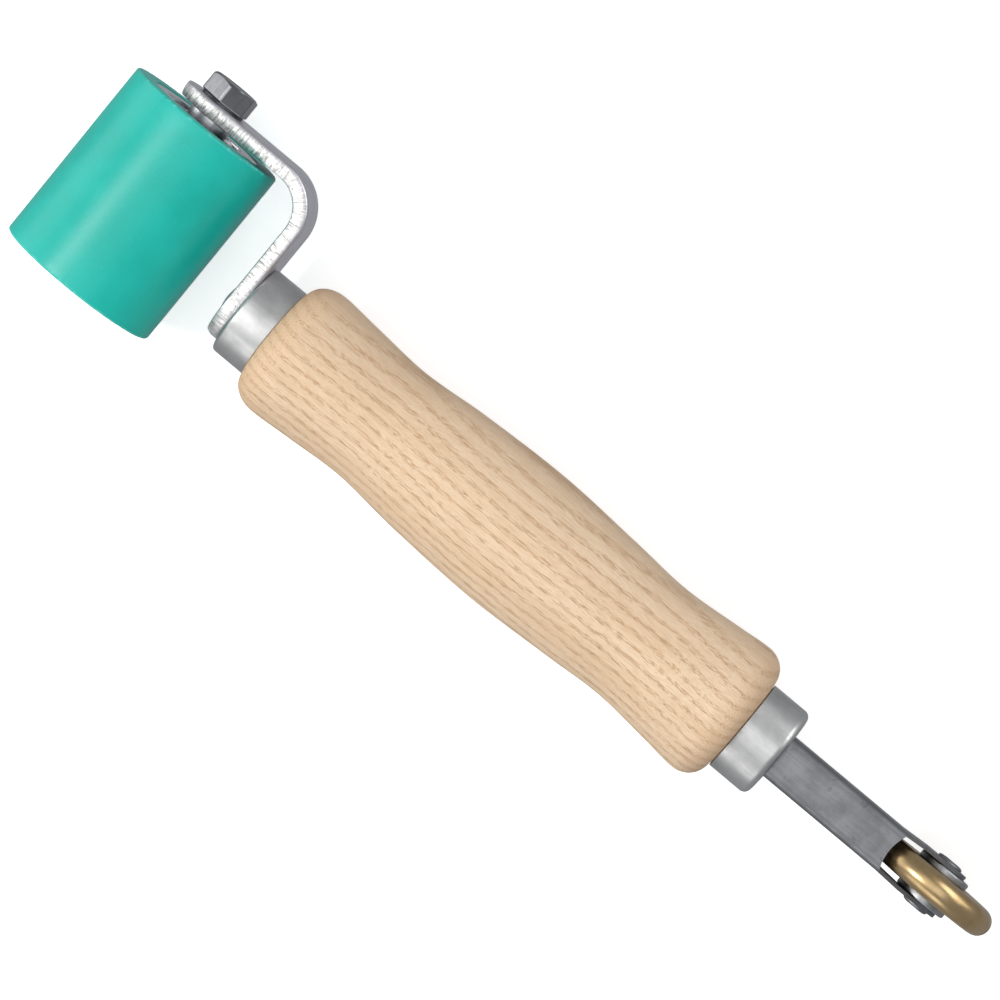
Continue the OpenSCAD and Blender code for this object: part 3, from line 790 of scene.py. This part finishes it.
def upset(along, radius, turn, ring):
    """Hammer marks on the rivet's heads."""
    if abs(along) < 5.2:
        return along, radius
    mark = wobble(math.cos(turn) * radius * 0.9, along, math.sin(turn) * radius * 0.9)
    return along + math.copysign(0.05 * mark - 0.05, along), radius


rivet_half = [
    (5.46, 0.0), (5.48, 0.5), (5.58, 0.8), (5.66, 1.15), (5.66, 1.7), (5.62, 2.25), (5.5, 2.6),
    (5.3, 2.78), (5.1, 2.76), (5.07, 2.6), (5.07, 2.0),
]
turned(
    "upset_rivet",
    [(-y, r) for y, r in rivet_half] + [(y, r) for y, r in reversed(rivet_half)],
    ABOUT_WHEEL, "handle", "rivet_steel", ["wheel_rivet"], 64, False, upset, 50,
)
washers = bmesh.new()
for side in (-1, 1):
    spun(washers, rounded([
        (side * 2.85, 2.06, 0.1), (side * 2.85, 5.6, 0.12), (side * 4.15, 5.6, 0.4),
        (side * 4.15, 2.06, 0.1),
    ]), ABOUT_WHEEL, 96)
piece("stamped_wheel_washers", washers, "handle",
      FINISHES["wheel_washer_steel"], ["wheel_washers"])

# ---------------------------------------------------------------- finishes on the CAD nodes that stay
slot_of = {s["node"]: s["material_slot"] for s in frame["record"]["subparts"]}
for name, node in frame["nodes"].items():
    if node.hide_render:
        continue
    node.data.materials.clear()
    node.data.materials.append(FINISHES[slot_of[name]])

# ---------------------------------------------------------------- floor
floor_mesh = bpy.data.meshes.new("floor")
floor_bm = bmesh.new()
bmesh.ops.create_grid(floor_bm, x_segments=1, y_segments=1, size=4.0)
floor_bm.to_mesh(floor_mesh)
floor_bm.free()
floor = bpy.data.objects.new("floor", floor_mesh)
floor.location = (0.1, 0, (FLOOR_Z - 0.02) * MM)
scene.collection.objects.link(floor)
paper = Finish("pale_paper", roughness=0.9, base_color=(0.90, 0.90, 0.90, 1.0))
paper.shader.inputs["Emission Color"].default_value = (1, 1, 1, 1)
paper.shader.inputs["Emission Strength"].default_value = 0.5
floor_mesh.materials.append(paper.material)
floor.visible_diffuse = False
floor.visible_glossy = False

# ---------------------------------------------------------------- light
world = bpy.data.worlds.new("studio")
scene.world = world
world.use_nodes = True
world.node_tree.nodes["Background"].inputs["Color"].default_value = (0.92, 0.95, 1.0, 1)
world.node_tree.nodes["Background"].inputs["Strength"].default_value = 0.38
MIDDLE = Vector((0.09, 0, 0))


def softbox(name, direction, distance, width, height, watts, colour=(1, 1, 1)):
    """A rectangular light that faces the object."""
    light = bpy.data.lights.new(name, "AREA")
    light.shape = "RECTANGLE"
    light.size = width
    light.size_y = height
    light.energy = watts
    light.color = colour
    obj = bpy.data.objects.new(name, light)
    away = Vector(direction).normalized()
    obj.location = MIDDLE + away * distance
    obj.rotation_mode = "QUATERNION"
    obj.rotation_quaternion = away.to_track_quat("Z", "Y")
    scene.collection.objects.link(obj)


softbox("key", (-0.50, -0.28, 0.83), 1.3, 0.38, 0.34, 8.0)
softbox("side", (-1.0, -0.15, 0.14), 1.2, 1.2, 0.8, 5.0)
softbox("front", (0.0, -1.0, 0.45), 1.3, 1.2, 0.6, 4.0)
softbox("top", (0.0, 0.05, 1.0), 1.5, 1.4, 1.4, 6.0)
softbox("far", (0.55, 0.80, 0.42), 1.2, 0.9, 0.7, 5.0)

# ---------------------------------------------------------------- camera
camera_data = bpy.data.cameras.new("camera")
camera_data.sensor_width = 36.0
camera_data.lens = 160.7
camera_data.clip_start = 0.05
camera_data.clip_end = 20.0
camera = bpy.data.objects.new("camera", camera_data)
scene.collection.objects.link(camera)
camera_at = Vector((0.1216, 0.0825, 0.8538))
look_at = Vector((0.0897, 0.00035, 0.0))
tilt = math.radians(39.67)
forward = (look_at - camera_at).normalized()
right = forward.cross(Vector((-math.sin(tilt), math.cos(tilt), 0))).normalized()
up = right.cross(forward)
turned_camera = Matrix((right, up, -forward)).transposed()
camera.matrix_world = Matrix.Translation(camera_at) @ turned_camera.to_4x4()
scene.camera = camera
scene.view_settings.view_transform = "Standard"
